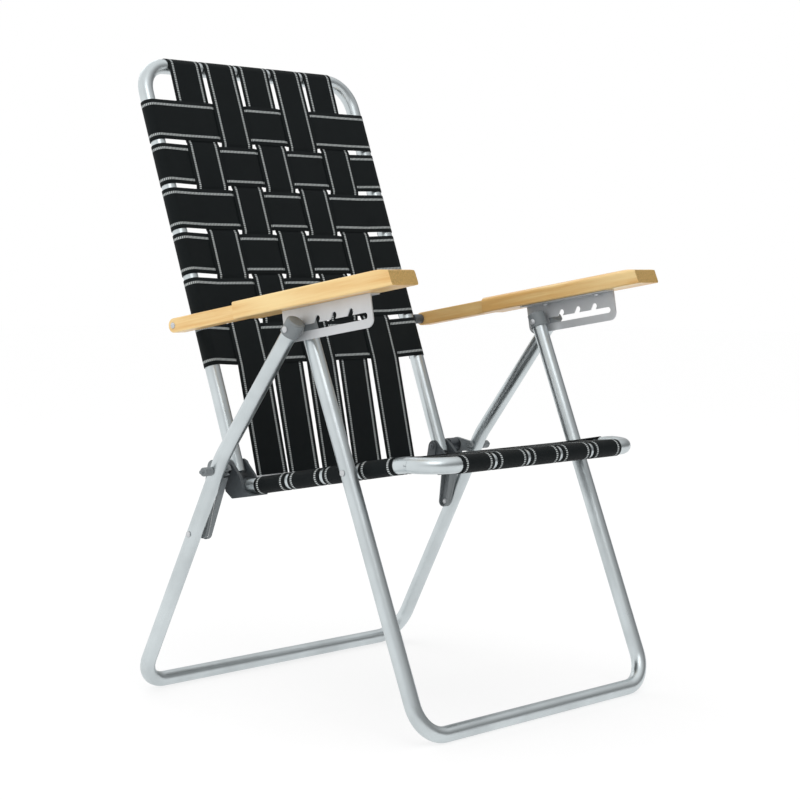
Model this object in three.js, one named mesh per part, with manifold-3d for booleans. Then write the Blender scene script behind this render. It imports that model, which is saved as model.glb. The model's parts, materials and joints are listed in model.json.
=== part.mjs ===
import * as THREE from 'three';
import { mergeVertices, toCreasedNormals } from 'three/addons/utils/BufferGeometryUtils.js';
import ManifoldModule from 'manifold-3d';

const { Vector2, Vector3, Matrix4, Quaternion, Shape } = THREE;
const rad = THREE.MathUtils.degToRad;

// Stock: tube, rod, rivet and webbing, in millimetres. Front is -Y, the floor is z = 0.
const tubeR = 11.1;
const tubeSides = 16;
const rivetR = 3.2;
const seatBarR = 6.3;
const lowBarR = 5;
const webWidth = 63.5;
const webThick = 1;
const webSpace = 6.7;
const webPitch = webWidth + webSpace;
const weaveGap = 0.3;
const wrapGap = 0.45;
const clearance = 0.3;
const bendR = 46;
const legFace = tubeR / Math.cos(Math.PI / tubeSides) + clearance;

// Half distances between tube centres, each frame nesting inside the next
const rearHalf = 277.7;
const legGap = 9.3;
const seatGap = 3.5;
const backGap = 2;
const frontHalf = rearHalf - 2 * tubeR - legGap;
const seatHalf = frontHalf - 2 * tubeR - seatGap;
const backHalf = seatHalf - backGap;

// Side view of the frame: y towards the rear, z up
const side = (y, z) => new Vector3(0, y, z);
const lockPinY = -59;
const lockPinZ = 543;
const frontFootY = -270.4;
const rearFootY = 267.8;
const legBendY = 83.9;
const legBendZ = 359;
const legBendR = 110;
const legOver = 12;
const seatPivotZ = 352;
const linkPivotZ = 246;
const stopPinZ = 340;
const backPivotY = 119.9;
const backPivotZ = 341;
const backLean = rad(19.9);
const backLength = 624.4;
const backTail = 10;
const lowBarBehind = 4.6;
const lowBarDrop = 23.4;
const railShort = 12.9;
const railDrop = 31.35;
const seatFrontY = -264.5;
const seatBarFront = 35.9;
const lockPin = side(lockPinY, lockPinZ);
const frontFoot = side(frontFootY, tubeR);
const rearFoot = side(rearFootY, tubeR);
const legBend = side(legBendY, legBendZ);
const backPivot = side(backPivotY, backPivotZ);
const lowBar = side(backPivotY + lowBarBehind, backPivotZ - lowBarDrop);

// Long webs spread between the bends of the back; cross webs are counted from the bar behind them
const columnSpan = backHalf - bendR - webWidth / 2;
const sideColumns = Math.floor(columnSpan / (webWidth + webSpace / 2));
const columnPitch = Math.min(webPitch, columnSpan / sideColumns);
const columns = Array.from({ length: 2 * sideColumns + 1 }, (_, i) => i - sideColumns);
const lastBackRow = 202.3;
const seatRowSpace = 2.1;
const hemTurn = rad(205);

// Arm, slot plate and their fixings, along the arm from the lock pin
const armSlope = rad(9.3);
const armRise = 40.9;
const armThick = 24;
const armWidth = 50;
const armShift = 1.05;
const armFront = 204;
const armStep = -104;
const armRound = 8;
const armEase = 2.5;
const noseLength = 34;
const noseDrop = 4;
const noseSet = 5;
const tongueSet = 14;
const tongueWidth = 22;
const tongueThick = 21;
const tongueDrop = 1;
const plateX = (rearHalf + frontHalf) / 2;
const armInner = plateX - armWidth / 2 + armShift;
const tongueInner = armInner + tongueSet;
const plateThick = 2;
const plateBack = -31;
const plateFront = 139;
const plateDrop = 16.2;
const plateCorner = 12;
const flangeWidth = 19;
const slotHalf = 4.4;
const slotEnd = 125;
const notchFirst = 30;
const notchPitch = 32;
const notchCount = 3;
const notchLean = 6.5;
const notchRise = 9.6;
const notchHalf = 4.2;
const screwSpots = [12, 112];

// Caps, washers, links and stop pins
const capWall = 1.7;
const capSkirt = 20;
const washerPlay = 0.8;
const linkGap = 3.1;
const linkThick = 5.5;
const linkOuter = rearHalf - tubeR - linkGap;
const linkInner = linkOuter - linkThick;
const linkTopR = 11.5;
const linkHookR = 8;
const linkLowR = 8.5;
const stopLength = 15.7;
const stopNub = 5;

// Brackets, each with a socket for a seat rail and two cheeks beside a back tube
const tubeRoom = legFace + 0.1;
const cheekWall = 3.5;
const socketSide = 4.5;
const socketWall = 2.5;
const bracketInner = backHalf - tubeRoom - cheekWall;
const bracketOuter = seatHalf + tubeR + socketSide;
const cheekR = 9.5;
const swingRoom = 17;
const collarR = 11;
const tabThick = 2.5;
const tabR = 8;

// Corners of a bracket in the side view, measured from the back pivot
const lipFront = 49.9;
const lipHeight = 2;
const footFront = 10.3;
const heelBehind = 3.4;
const heelDrop = 36.2;
const hipBehind = 8.6;
const hipDrop = 20.6;
const browFront = 24.9;
const browDrop = 11;
const toeFront = 35.9;
const toeDrop = 32;

// Materials
const finish = (color, roughness, metalness) =>
  new THREE.MeshStandardMaterial({ color, roughness, metalness });
const aluminium = () => finish(0xc6c8cb, 0.34, 1);
const steel = () => finish(0xb4b6b8, 0.38, 1);
const darkSteel = () => finish(0x4a4d50, 0.45, 1);
const darkPlastic = () => finish(0x3b3d40, 0.55, 0);
const greyPlastic = () => finish(0x6d7073, 0.55, 0);
const timber = () => finish(0xe0c48c, 0.6, 0);
const webbing = () => finish(0x1b1f22, 0.85, 0);

const chair = new THREE.Group();
chair.name = 'folding_lawn_chair';

// Solid helpers
const wasm = await ManifoldModule();
wasm.setup();

function toManifold(geometry) {
  const plain = new THREE.BufferGeometry();
  plain.setAttribute('position', geometry.getAttribute('position'));
  plain.setIndex(geometry.index);
  const merged = mergeVertices(plain, 1e-4);
  const triVerts = new Uint32Array(merged.index.array);
  const vertProperties = new Float32Array(merged.getAttribute('position').array);
  const mesh = new wasm.Mesh({ numProp: 3, vertProperties, triVerts });
  return new wasm.Manifold(mesh);
}

function fromManifold(solid) {
  const mesh = solid.getMesh();
  const geometry = new THREE.BufferGeometry();
  geometry.setAttribute('position', new THREE.BufferAttribute(new Float32Array(mesh.vertProperties), 3));
  geometry.setIndex(new THREE.BufferAttribute(new Uint32Array(mesh.triVerts), 1));
  return geometry;
}

const cut = (body, ...tools) =>
  fromManifold(tools.reduce((rest, tool) => rest.subtract(toManifold(tool)), toManifold(body)));
const join = (body, ...more) =>
  fromManifold(more.reduce((whole, piece) => whole.add(toManifold(piece)), toManifold(body)));

function add(name, geometry, material) {
  const mesh = new THREE.Mesh(toCreasedNormals(geometry, rad(34)), material);
  mesh.name = name;
  chair.add(mesh);
}

function mirrored(geometry) {
  const copy = geometry.clone().applyMatrix4(new Matrix4().makeScale(-1, 1, 1));
  const flipped = copy.index ? copy.toNonIndexed() : copy;
  const position = flipped.getAttribute('position');
  for (let i = 0; i < position.count; i += 3) {
    const b = new Vector3().fromBufferAttribute(position, i + 1);
    const c = new Vector3().fromBufferAttribute(position, i + 2);
    position.setXYZ(i + 1, c.x, c.y, c.z);
    position.setXYZ(i + 2, b.x, b.y, b.z);
  }
  const plain = new THREE.BufferGeometry();
  plain.setAttribute('position', position);
  return plain;
}

// A piece drawn on the right (+X) and repeated on the left
function addPair(name, geometry, material) {
  add(`${name}_right`, geometry, material());
  add(`${name}_left`, mirrored(geometry), material());
}

// A closed grid of rings, each ring a list of points, with flat ends
function rings(list) {
  const size = list[0].length;
  const position = list.flat().flatMap((p) => [p.x, p.y, p.z]);
  const index = [];
  for (let i = 0; i + 1 < list.length; i += 1) {
    for (let j = 0; j < size; j += 1) {
      const a = i * size + j;
      const b = i * size + ((j + 1) % size);
      index.push(a, b, b + size, a, b + size, a + size);
    }
  }
  const last = (list.length - 1) * size;
  for (let j = 1; j + 1 < size; j += 1) {
    index.push(0, j + 1, j, last, last + j, last + j + 1);
  }
  const geometry = new THREE.BufferGeometry();
  geometry.setAttribute('position', new THREE.Float32BufferAttribute(position, 3));
  geometry.setIndex(index);
  return geometry;
}

const tangentAt = (points, i) =>
  points[Math.min(i + 1, points.length - 1)].clone().sub(points[Math.max(i - 1, 0)]).normalize();

// A round bar along a path, one of its flats facing the given way at the middle of the path
function bar(points, radius, facing) {
  const middle = Math.floor(points.length / 2);
  const tangents = points.map((p, i) => tangentAt(points, i));
  const normals = [];
  const flat = (v, t) => v.clone().addScaledVector(t, -v.dot(t)).normalize();
  normals[middle] = flat(facing, tangents[middle]);
  for (let i = middle + 1; i < points.length; i += 1) {
    const turn = new Quaternion().setFromUnitVectors(tangents[i - 1], tangents[i]);
    normals[i] = flat(normals[i - 1].clone().applyQuaternion(turn), tangents[i]);
  }
  for (let i = middle - 1; i >= 0; i -= 1) {
    const turn = new Quaternion().setFromUnitVectors(tangents[i + 1], tangents[i]);
    normals[i] = flat(normals[i + 1].clone().applyQuaternion(turn), tangents[i]);
  }
  const step = (2 * Math.PI) / tubeSides;
  const reach = radius / Math.cos(step / 2);
  return rings(points.map((p, i) => {
    const across = tangents[i].clone().cross(normals[i]);
    return Array.from({ length: tubeSides }, (_, j) => {
      const angle = (j + 0.5) * step;
      return p.clone()
        .addScaledVector(normals[i], reach * Math.cos(angle))
        .addScaledVector(across, reach * Math.sin(angle));
    });
  }));
}

// A path with each inner corner rounded to its own radius
function rounded(corners, radii) {
  const path = [corners[0]];
  for (let i = 1; i + 1 < corners.length; i += 1) {
    const back = corners[i - 1].clone().sub(corners[i]).normalize();
    const on = corners[i + 1].clone().sub(corners[i]).normalize();
    const turn = Math.PI - back.angleTo(on);
    const run = radii[i - 1] * Math.tan(turn / 2);
    const start = corners[i].clone().addScaledVector(back, run);
    const bisector = back.clone().add(on).normalize();
    const centre = corners[i].clone().addScaledVector(bisector, radii[i - 1] / Math.cos(turn / 2));
    const axis = back.clone().cross(on).normalize();
    const steps = Math.max(2, Math.ceil(turn / rad(13)));
    for (let k = 0; k <= steps; k += 1) {
      const arm = start.clone().sub(centre).applyAxisAngle(axis, (-turn * k) / steps);
      path.push(centre.clone().add(arm));
    }
  }
  path.push(corners[corners.length - 1]);
  return path;
}

const atX = (p, x) => p.clone().setX(x);

// A U-shaped frame: one side's corners, mirrored to the other side through the cross bar
const hoop = (points, half, radii) =>
  rounded(
    [...points.map((p) => atX(p, half)), ...points.map((p) => atX(p, -half)).reverse()],
    [...radii, ...[...radii].reverse()],
  );

// A turned piece lying along X: profile points are radius and x
function turned(profile, centre, sides = 16) {
  const points = profile.map(([r, x]) => new Vector2(r, x));
  const geometry = new THREE.LatheGeometry(points, sides);
  geometry.applyMatrix4(new Matrix4().makeRotationZ(-Math.PI / 2));
  return geometry.translate(centre.x, centre.y, centre.z);
}

const pin = (centre, radius, x0, x1) => turned([[0, x0], [radius, x0], [radius, x1], [0, x1]], centre);

// A rivet along X with a domed head at each stated end, and a collar where one is stated
function rivet(centre, radius, x0, x1, headAtStart, headAtEnd, collar = []) {
  const head = 1.4 * radius;
  const dome = 0.75 * radius;
  const start = headAtStart
    ? [[0, x0 - dome], [0.6 * head, x0 - 0.8 * dome], [head, x0 - 0.2 * dome], [head, x0], [radius, x0]]
    : [[0, x0], [radius, x0]];
  const end = headAtEnd
    ? [[radius, x1], [head, x1], [head, x1 + 0.2 * dome], [0.6 * head, x1 + 0.8 * dome], [0, x1 + dome]]
    : [[radius, x1], [0, x1]];
  return turned([...start, ...collar, ...end], centre);
}

// A flat outline in the side view, given thickness along X from x0 to x1
function slab(shape, x0, x1, steps = 6) {
  const geometry = new THREE.ExtrudeGeometry(shape, { depth: x1 - x0, bevelEnabled: false, curveSegments: steps });
  const basis = new Matrix4().makeBasis(new Vector3(0, 1, 0), new Vector3(0, 0, 1), new Vector3(1, 0, 0));
  return geometry.applyMatrix4(basis).translate(x0, 0, 0);
}

// Leg frames
const legDown = (foot) => foot.clone().sub(lockPin).normalize();
const frontDown = legDown(frontFoot);
const rearUpper = legDown(legBend);
const rearLower = rearFoot.clone().sub(legBend).normalize();
const onLine = (from, dir, z) => from.clone().addScaledVector(dir, (z - from.z) / dir.z);
const seatPivot = onLine(lockPin, frontDown, seatPivotZ);
const linkPivot = onLine(legBend, rearLower, linkPivotZ);
const stopPin = onLine(legBend, rearLower, stopPinZ);
const legTop = (down) => lockPin.clone().addScaledVector(down, -legOver);
const floorward = new Vector3(0, 0, -1);
const through = (centre, radius, half) =>
  pin(atX(centre, half), radius + clearance, -2.2 * tubeR, 2.2 * tubeR);
const bothSides = (geometry) => [geometry, mirrored(geometry)];

const rearFrame = cut(
  bar(hoop([legTop(rearUpper), legBend, rearFoot], rearHalf, [legBendR, bendR]), tubeR, floorward),
  ...bothSides(through(lockPin, rivetR, rearHalf)),
  ...bothSides(through(linkPivot, rivetR, rearHalf)),
  ...bothSides(through(stopPin, rivetR, rearHalf)),
);
add('rear_leg_frame', rearFrame, aluminium());

const frontFrame = cut(
  bar(hoop([legTop(frontDown), frontFoot], frontHalf, [bendR]), tubeR, floorward),
  ...bothSides(through(lockPin, rivetR, frontHalf)),
  ...bothSides(through(seatPivot, rivetR, frontHalf)),
);
add('front_leg_frame', frontFrame, aluminium());

// Plastic caps on the leg tops
const capR = legFace + capWall;
function cap(down, half) {
  const bore = capR - capWall;
  const profile = [
    [0, clearance], [bore, clearance], [bore, -capSkirt], [capR, -capSkirt],
    [capR, 0.3 * capWall], [0.8 * capR, 1.6 * capWall], [0, 2 * capWall],
  ].map(([r, t]) => new Vector2(r, t));
  const cup = new THREE.LatheGeometry(profile, 20);
  cup.applyQuaternion(new Quaternion().setFromUnitVectors(new Vector3(0, 1, 0), down.clone().negate()));
  const top = atX(legTop(down), half);
  cup.translate(top.x, top.y, top.z);
  return cut(cup, through(lockPin, rivetR, half));
}
addPair('rear_cap', cap(rearUpper, rearHalf), greyPlastic);
addPair('front_cap', cap(frontDown, frontHalf), greyPlastic);

// Lock pins through both legs, with a washer beside the slot plate
const capFace = capR + clearance;
addPair(
  'lock_pin',
  rivet(lockPin, rivetR, frontHalf - capFace, rearHalf + capFace, true, true),
  steel,
);
const plateOuter = plateX + plateThick / 2;
const washerOut = rearHalf - capR - clearance;
const washerIn = plateOuter + clearance;
const washerBore = rivetR + washerPlay;
const washer = turned(
  [
    [washerBore, washerIn], [2.6 * rivetR, washerIn],
    [2.6 * rivetR, washerOut], [washerBore, washerOut], [washerBore, washerIn],
  ],
  lockPin,
);
addPair('washer', washer, steel);

// Links, bracket pivots and stop pins
const sideAngle = (from, to) => Math.atan2(to.z - from.z, to.y - from.y);
function strapOutline(low, lowR, high, highR) {
  const lie = sideAngle(low, high);
  const lead = Math.acos((lowR - highR) / low.distanceTo(high));
  const shape = new Shape();
  shape.absarc(high.y, high.z, highR, lie - lead, lie + lead, false);
  shape.absarc(low.y, low.z, lowR, lie + lead, lie - lead + 2 * Math.PI, false);
  return shape;
}
const linkBody = join(
  slab(strapOutline(linkPivot, linkLowR, backPivot, linkTopR), linkInner, linkOuter),
  slab(strapOutline(stopPin, linkHookR, backPivot, linkTopR), linkInner, linkOuter),
);
const hookWay = side(linkPivot.z - stopPin.z, stopPin.y - linkPivot.y).normalize();
const hookMouth = stopPin.clone().addScaledVector(hookWay, 2 * linkHookR);
const hookR = rivetR + 0.4;
const link = cut(
  linkBody,
  slab(strapOutline(stopPin, hookR, hookMouth, hookR), linkInner - 1, linkOuter + 1),
  pin(backPivot, rivetR + clearance, linkInner - 1, linkOuter + 1),
  pin(linkPivot, rivetR + clearance, linkInner - 1, linkOuter + 1),
);
addPair('link', link, greyPlastic);
addPair(
  'link_rivet',
  rivet(linkPivot, rivetR, linkInner - clearance, rearHalf + legFace, true, true),
  steel,
);
const stopR = 2 * rivetR;
const stopFoot = rearHalf + legFace;
const stopEnd = stopFoot + stopLength;
const stopChamfer = 0.2 * stopR;
const nubEnd = stopEnd + stopNub;
const nubR = 0.9 * rivetR;
const stop = turned(
  [
    [0, linkInner], [rivetR, linkInner], [rivetR, stopFoot], [stopR, stopFoot],
    [stopR, stopEnd - stopChamfer], [stopR - stopChamfer, stopEnd], [nubR, stopEnd],
    [nubR, nubEnd - stopChamfer], [nubR - stopChamfer, nubEnd], [0, nubEnd],
  ],
  stopPin,
);
addPair('stop_pin', stop, greyPlastic);
addPair(
  'seat_rivet',
  rivet(seatPivot, rivetR, frontHalf - tubeR - 1, frontHalf + legFace, false, true),
  steel,
);

// Seat frame and the bar behind its webs
const railEnd = side(backPivotY - railShort, backPivotZ - railDrop);
const railDir = seatPivot.clone().sub(railEnd).normalize();
const railAt = (y) => seatPivot.clone().addScaledVector(railDir, (y - seatPivot.y) / railDir.y);
const seatCorner = railAt(seatFrontY + bendR);
const seatFront = side(seatFrontY, seatCorner.z);
const seatFrame = bar(
  hoop([railEnd, seatCorner, seatFront], seatHalf, [2 * bendR, 0.94 * bendR]),
  tubeR,
  floorward,
);
add('seat_frame', seatFrame, aluminium());
const seatRear = railAt(backPivotY - seatBarFront);
const seatBarEnd = bracketInner - clearance;
add('seat_rear_bar', bar([atX(seatRear, seatBarEnd), atX(seatRear, -seatBarEnd)], seatBarR, floorward), steel());

// Back frame, its pivot bolts, and the low bar in two tabs that hang from them
const backUp = side(Math.sin(backLean), Math.cos(backLean));
const backTop = backPivot.clone().addScaledVector(backUp, backLength);
const backFace = side(-Math.cos(backLean), Math.sin(backLean));
const backEnd = backPivot.clone().addScaledVector(backUp, -backTail);
const backFrame = cut(
  bar(hoop([backEnd, backTop], backHalf, [bendR]), tubeR, backFace),
  ...bothSides(through(backPivot, rivetR, backHalf)),
);
add('back_frame', backFrame, aluminium());
const tabOuter = bracketInner - clearance;
const tabInner = tabOuter - tabThick;
const collarStart = bracketOuter + clearance;
const collarEnd = linkInner - clearance;
const collar = [[rivetR, collarStart], [collarR, collarStart], [collarR, collarEnd], [rivetR, collarEnd]];
addPair(
  'back_pivot',
  rivet(backPivot, rivetR, tabInner - clearance, linkOuter + clearance, true, true, collar),
  darkSteel,
);
const tab = cut(
  slab(strapOutline(lowBar, tabR, backPivot, tabR), tabInner, tabOuter),
  pin(backPivot, rivetR + clearance, tabInner - 1, tabOuter + 1),
  pin(lowBar, lowBarR / Math.cos(Math.PI / tubeSides) + clearance, tabInner - 1, tabOuter + 1),
);
addPair('low_bar_tab', tab, darkPlastic);
add('back_low_bar', bar([atX(lowBar, tabOuter), atX(lowBar, -tabOuter)], lowBarR, floorward), steel());

// Brackets that hold the rail ends and the back pivots
const fromPivot = (front, drop) => side(backPivotY - front, backPivotZ - drop);
const railLow = (front) => {
  const y = backPivotY - front;
  return side(y, railAt(y).z + (tubeR + socketWall) / railDir.y);
};
const touch = (p, way) => sideAngle(backPivot, p) + way * Math.acos(cheekR / p.distanceTo(backPivot));
const lip = railLow(lipFront);
const hip = fromPivot(-hipBehind, hipDrop);
const brow = fromPivot(browFront, browDrop);
const cheek = new Shape();
cheek.moveTo(lip.y, lip.z);
[railLow(footFront), fromPivot(-heelBehind, heelDrop), hip].forEach((p) => cheek.lineTo(p.y, p.z));
cheek.absarc(backPivotY, backPivotZ, cheekR, touch(hip, 1), touch(brow, -1), false);
[brow, fromPivot(toeFront, toeDrop)].forEach((p) => cheek.lineTo(p.y, p.z));
cheek.lineTo(lip.y, lip.z + lipHeight);
const swing = new THREE.BoxGeometry(2 * tubeRoom, 2 * lipFront, 2 * heelDrop)
  .translate(backHalf, backPivotY, backPivotZ - swingRoom + heelDrop);
const socketEnd = railEnd.clone().addScaledVector(railDir, -1);
const socket = bar([atX(socketEnd, seatHalf), atX(railAt(0), seatHalf)], tubeR + clearance, floorward);
const bracket = cut(
  slab(cheek, bracketInner, bracketOuter),
  swing,
  socket,
  pin(backPivot, rivetR + clearance, bracketInner - 1, bracketOuter + 1),
);
addPair('bracket', bracket, darkPlastic);

// Webbing: a run lies between two bars, on the stated face, with each end turned round its bar
function runBetween(c1, r1, c2, r2, face) {
  const axis = c2.clone().sub(c1);
  const sin = (r1 - r2) / axis.length();
  axis.normalize();
  const normal = face.clone().multiplyScalar(Math.sqrt(1 - sin * sin)).addScaledVector(axis, sin);
  const start = c1.clone().addScaledVector(normal, r1);
  const end = c2.clone().addScaledVector(normal, r2);
  return { c1, r1, c2, r2, normal, start, end, dir: end.clone().sub(start).normalize() };
}

const turn = (centre, radius, a, b, from, to) => {
  const steps = Math.max(2, Math.ceil(Math.abs(to - from) / rad(19)));
  return Array.from({ length: steps + 1 }, (_, k) => {
    const angle = from + ((to - from) * k) / steps;
    return centre.clone()
      .addScaledVector(a, radius * Math.cos(angle))
      .addScaledVector(b, radius * Math.sin(angle));
  });
};

// A flat strap along stations, each a point and the direction of the width there
function strap(stations) {
  const points = stations.map((s) => s.point);
  return rings(stations.map(({ point, width }, i) => {
    const normal = tangentAt(points, i).cross(width).normalize();
    return [[1, 1], [-1, 1], [-1, -1], [1, -1]].map(([w, n]) => point.clone()
      .addScaledVector(width, (w * webWidth) / 2)
      .addScaledVector(normal, (n * webThick) / 2));
  }));
}

const weave = (webThick + weaveGap) / 2;
const crossHalf = webWidth / 2 + 0.7;
const lies = (row, column) => ((row + column) % 2 === 0 ? 1 : -1);
const lateral = new Vector3(1, 0, 0);

// A long web at one column: over the first bar, through the rows, round the second bar
function longWeb(run, rows, column) {
  const shift = columns[column] * columnPitch;
  const down = run.dir.clone().negate();
  const sign = Math.sign(run.r2);
  const middle = rows.flatMap((distance, row) => [-crossHalf, crossHalf].map((edge) => run.start.clone()
    .addScaledVector(run.dir, distance + edge)
    .addScaledVector(run.normal, -weave * lies(row, column))));
  const path = [
    ...turn(run.c1, run.r1, run.normal, down, hemTurn, 0),
    ...middle,
    ...turn(run.c2, Math.abs(run.r2), run.normal.clone().multiplyScalar(sign), run.dir, 0, hemTurn),
  ];
  return strap(path.map((p) => ({ point: atX(p, shift), width: lateral })));
}

// A cross web at one row: round both side tubes, woven through the columns
function crossWeb(run, distance, row, tubePoint, tubeDir, half) {
  const centre = run.start.clone().addScaledVector(run.dir, distance);
  const along = centre.clone().sub(tubePoint).dot(tubeDir);
  const hub = tubePoint.clone().addScaledVector(tubeDir, along);
  const out = tubeDir.clone().cross(lateral).normalize();
  const up = out.multiplyScalar(Math.sign(out.dot(run.normal)));
  const radius = tubeR + wrapGap + webThick / 2;
  const edge = sideColumns * columnPitch + crossHalf;
  const rise = centre.clone().sub(hub).dot(up) + weave * lies(row, 0);
  const reach = half - edge;
  const leave = Math.atan2(reach, rise) - Math.acos(radius / Math.hypot(reach, rise));
  const wrapTurn = (from, to) => turn(atX(hub, half), radius, up, lateral, from, to)
    .map((point) => ({ point, width: tubeDir }));
  const rightEnd = wrapTurn(-leave, hemTurn);
  const leftEnd = rightEnd
    .map(({ point, width }) => ({ point: atX(point, -point.x), width }))
    .reverse();
  const middle = columns.flatMap((place, column) => [-crossHalf, crossHalf].map((off) => ({
    point: atX(centre, place * columnPitch + off).addScaledVector(run.normal, weave * lies(row, column)),
    width: run.dir.dot(tubeDir) > 0 ? run.dir : run.dir.clone().negate(),
  })));
  return strap([...leftEnd, ...middle, ...rightEnd]);
}

// Distances of cross webs along a run: as many as fit below the bends, the last one set off from the second bar
function rowDistances(run, last) {
  const reach = run.end.distanceTo(run.start) - last;
  const rows = 1 + Math.floor((reach - webWidth / 2 - bendR) / webPitch);
  return Array.from({ length: rows }, (_, k) => reach - webPitch * (rows - 1 - k));
}

const wrapR = tubeR + wrapGap + webThick / 2;
const webAxis = lowBar.clone().sub(backTop).normalize();
const webFace = side(webAxis.z, -webAxis.y);
const backRun = runBetween(backTop, wrapR, lowBar, -(lowBarR + wrapGap + webThick / 2), webFace);
const backDistances = rowDistances(backRun, lastBackRow);
columns.forEach((_, i) => add(`back_long_web_${i + 1}`, longWeb(backRun, backDistances, i), webbing()));
backDistances.forEach((distance, k) => {
  add(`back_cross_web_${k + 1}`, crossWeb(backRun, distance, k, backTop, backUp, backHalf), webbing());
});

const seatAxis = seatRear.clone().sub(seatFront).normalize();
const seatFace = side(-seatAxis.z, seatAxis.y);
const seatRun = runBetween(seatFront, wrapR, seatRear, seatBarR + wrapGap + webThick / 2, seatFace);
const seatDistances = rowDistances(seatRun, webWidth / 2 + lipFront - seatBarFront + seatRowSpace);
columns.forEach((_, i) => add(`seat_long_web_${i + 1}`, longWeb(seatRun, seatDistances, i), webbing()));
seatDistances.forEach((distance, k) => {
  add(`seat_cross_web_${k + 1}`, crossWeb(seatRun, distance, k, seatPivot, railDir, seatHalf), webbing());
});

// Arms: s runs forward from the lock pin along the arm, h stands square to it
const armDir = side(-Math.cos(armSlope), Math.sin(armSlope));
const armUp = side(Math.sin(armSlope), Math.cos(armSlope));
const armPivotUp = (armRise - tongueDrop - backPivot.clone().sub(lockPin).dot(armUp)) / backUp.dot(armUp);
const armPivot = backPivot.clone().addScaledVector(backUp, armPivotUp);
const armFrame = (geometry, x0) => geometry
  .applyMatrix4(new Matrix4().makeBasis(armDir, armUp, new Vector3(-1, 0, 0)))
  .translate(x0 + lockPin.x, lockPin.y, lockPin.z);
const onArm = (s, h) => lockPin.clone().addScaledVector(armDir, s).addScaledVector(armUp, h);
const armLow = armRise - armThick / 2;
const armHigh = armRise + armThick / 2;
const pivotBack = armPivot.clone().sub(lockPin).dot(armDir);
const pivotRise = armPivot.clone().sub(lockPin).dot(armUp);

const section = new Shape();
const corner = 1.5;
section.moveTo(armInner + corner, armLow);
section.lineTo(armInner + armWidth - corner, armLow);
section.lineTo(armInner + armWidth, armLow + corner);
section.absarc(armInner + armWidth - armEase, armHigh - armEase, armEase, 0, Math.PI / 2, false);
section.absarc(armInner + armRound, armHigh - armRound, armRound, Math.PI / 2, Math.PI, false);
section.lineTo(armInner, armLow + corner);
const board = new THREE.ExtrudeGeometry(section, {
  depth: armFront - armStep - 2 * corner,
  bevelEnabled: true,
  bevelThickness: corner,
  bevelSize: corner,
  bevelOffset: -corner,
  bevelSegments: 2,
  curveSegments: 4,
});
board.applyMatrix4(new Matrix4().makeBasis(lateral, armUp, armDir));
const boardStart = onArm(armStep + corner, 0);
board.translate(0, boardStart.y, boardStart.z);
const tongueShape = new Shape();
const tongueHalf = tongueThick / 2;
tongueShape.moveTo(armStep + 10, pivotRise - tongueHalf);
tongueShape.lineTo(armStep + 10, pivotRise + tongueHalf);
tongueShape.absarc(pivotBack, pivotRise, tongueHalf, Math.PI / 2, 1.5 * Math.PI, false);
const tongue = new THREE.ExtrudeGeometry(tongueShape, {
  depth: tongueWidth - 2 * corner,
  bevelEnabled: true,
  bevelThickness: corner,
  bevelSize: corner,
  bevelOffset: -corner,
  bevelSegments: 2,
  curveSegments: 8,
});
armFrame(tongue, tongueInner + tongueWidth - corner);
// The waste over the front end, whose top falls away in three short slopes to a leaning end
const nose = new Shape();
nose.moveTo(armFront - noseLength, armHigh + 0.1);
nose.lineTo(armFront - 0.6 * noseLength, armHigh - 0.2 * noseDrop);
nose.lineTo(armFront - 0.3 * noseLength, armHigh - 0.6 * noseDrop);
nose.lineTo(armFront - noseSet, armHigh - noseDrop);
nose.lineTo(armFront, armLow - 1);
nose.lineTo(armFront + noseSet, armLow - 1);
nose.lineTo(armFront + noseSet, armHigh + noseDrop);
const waste = new THREE.ExtrudeGeometry(nose, { depth: 2 * armWidth, bevelEnabled: false });
armFrame(waste, armInner + 1.5 * armWidth);
const screwX = plateX - flangeWidth / 2;
const upright = (geometry, s, h) => {
  const foot = onArm(s, h);
  return geometry
    .applyQuaternion(new Quaternion().setFromUnitVectors(new Vector3(0, 1, 0), armUp))
    .translate(screwX, foot.y, foot.z);
};
const screwR = 2;
const screwHole = (s) => upright(
  new THREE.CylinderGeometry(screwR + clearance, screwR + clearance, 24, 12),
  s,
  armLow,
);
const arm = cut(
  join(board, tongue),
  waste,
  pin(armPivot, rivetR + clearance, tongueInner - 2, tongueInner + tongueWidth + 2),
  ...screwSpots.map(screwHole),
);
addPair('arm', arm, timber);

// Slot plates under the arms: a channel with notches the lock pin drops into
const outline = new Shape();
const plateTop = armLow - clearance;
outline.moveTo(plateBack, plateTop);
outline.lineTo(plateBack, plateCorner - plateDrop);
outline.absarc(plateBack + plateCorner, -plateDrop + plateCorner, plateCorner, Math.PI, 1.5 * Math.PI, false);
outline.absarc(plateFront - plateCorner, -plateDrop + plateCorner, plateCorner, -Math.PI / 2, 0, false);
outline.lineTo(plateFront, plateTop);
// A round-ended cutter through the plate, from one point of the arm's s and h to another
function slotCut(s0, h0, s1, h1, half) {
  const lie = Math.atan2(h1 - h0, s1 - s0);
  const shape = new Shape();
  shape.absarc(s1, h1, half, lie - Math.PI / 2, lie + Math.PI / 2, false);
  shape.absarc(s0, h0, half, lie + Math.PI / 2, lie + 1.5 * Math.PI, false);
  const cutter = new THREE.ExtrudeGeometry(shape, { depth: 3 * plateThick, bevelEnabled: false, curveSegments: 8 });
  return armFrame(cutter, plateOuter + plateThick);
}
const channel = slotCut(slotHalf - rivetR - 0.4, 0, slotEnd, 0, slotHalf);
const notches = Array.from({ length: notchCount }, (_, k) => {
  const s = notchFirst + notchPitch * k;
  return slotCut(s, 0, s + notchLean, notchRise, notchHalf);
});
const web = new THREE.ExtrudeGeometry(outline, { depth: plateThick, bevelEnabled: false, curveSegments: 6 });
armFrame(web, plateOuter);
const flangeInset = 0.1;
const flangeShape = new Shape();
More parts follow.
